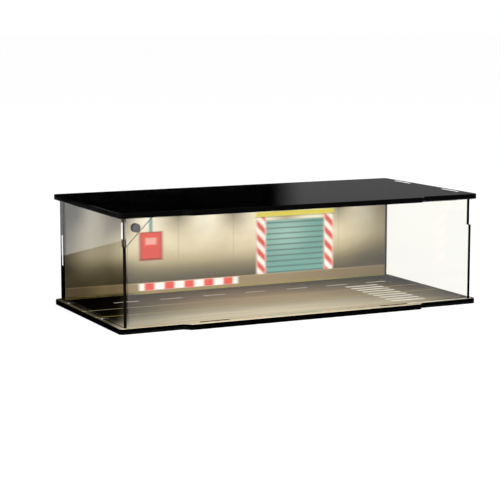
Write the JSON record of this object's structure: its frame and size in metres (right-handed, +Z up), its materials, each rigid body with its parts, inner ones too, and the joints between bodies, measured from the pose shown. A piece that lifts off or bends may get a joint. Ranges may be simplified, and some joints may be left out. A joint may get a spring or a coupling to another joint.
{
  "type": "display case",
  "caption": "Flat-pack display case for a scale model: black base and top, clear slotted walls, printed floor and backdrop, and a clear tip-out front door held by a magnet.",
  "frame": {"origin": "on the table under the middle of the case, at the centre of the base's bounding box", "axes": "+X along the width to the right, +Y from the door to the back, +Z up"},
  "size_m": [0.38, 0.185, 0.11],
  "materials": {
    "black_acrylic": "polished black cast acrylic",
    "clear_acrylic": "polished clear cast acrylic",
    "road_vinyl": "satin printed vinyl",
    "wall_vinyl": "satin printed vinyl",
    "magnet_nickel": "satin nickel plate"
  },
  "bodies": {
    "case": {"base_plate": "black_acrylic", "floor_print": "road_vinyl", "left_panel": "clear_acrylic", "right_panel": "clear_acrylic", "back_panel": "clear_acrylic", "backdrop_print": "wall_vinyl", "corner_plate": "clear_acrylic", "corner_magnet": "magnet_nickel", "top_plate": "black_acrylic"},
    "door": {"front_door": "clear_acrylic", "door_magnet": "magnet_nickel"}
  },
  "joints": [
    {"name": "door_tilt", "type": "hinge", "parent": "case", "child": "door", "pos_m": [0, -0.0858, 0.00565], "axis": [1, 0, 0], "range_deg": [0, 90]}
  ]
}
